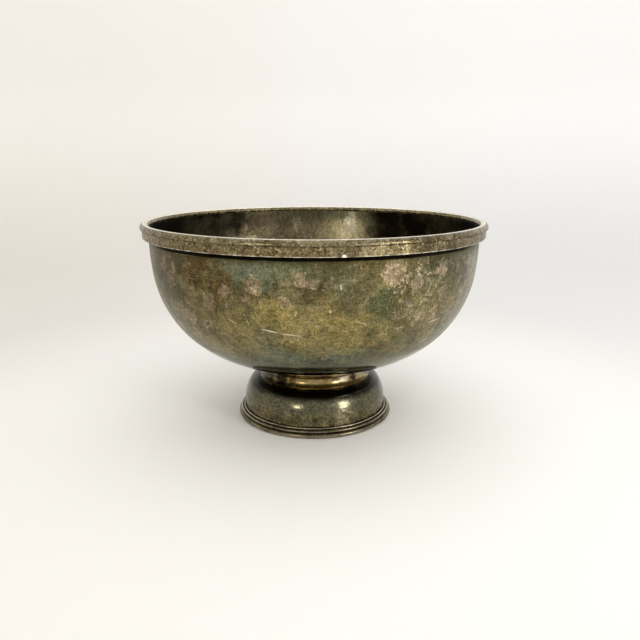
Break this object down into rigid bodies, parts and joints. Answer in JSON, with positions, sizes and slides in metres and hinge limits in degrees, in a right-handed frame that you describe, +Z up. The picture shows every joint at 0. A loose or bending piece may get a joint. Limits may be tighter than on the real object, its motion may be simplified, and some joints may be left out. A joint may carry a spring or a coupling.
{
  "type": "punch bowl",
  "caption": "Round footed serving bowl of tarnished silver-plated metal: deep spun bowl with an applied rim, short waisted neck and a rounded foot on a reeded base moulding.",
  "frame": {"origin": "centre of the foot on the table plane", "axes": "+Z up, along the bowl's axis; -Y is the front of the reference view"},
  "size_m": [0.305, 0.305, 0.1825],
  "materials": {
    "bowl_silver": "tarnished silver plate over brass, satin, mottled olive and brown",
    "rim_silver": "tarnished silver plate over brass, worn brighter on the edges",
    "foot_silver": "tarnished silver plate over brass, semi-gloss, dark olive brown",
    "moulding_silver": "tarnished silver plate over brass, dark grooves and worn bright edges",
    "neck_brass": "brown brass where the plate is thin, semi-gloss",
    "fixing_steel": "zinc-plated steel, dull"
  },
  "bodies": {
    "root": {"bowl_shell": "bowl_silver", "rim_wire": "rim_silver", "rim_band": "rim_silver", "neck_collar": "neck_brass", "foot_dome": "foot_silver", "foot_bead": "moulding_silver", "base_ring": "moulding_silver", "stud_pad": "neck_brass", "mounting_stud": "fixing_steel", "clamp_washer": "fixing_steel", "lock_washer": "fixing_steel", "hex_nut": "fixing_steel"}
  },
  "joints": []
}
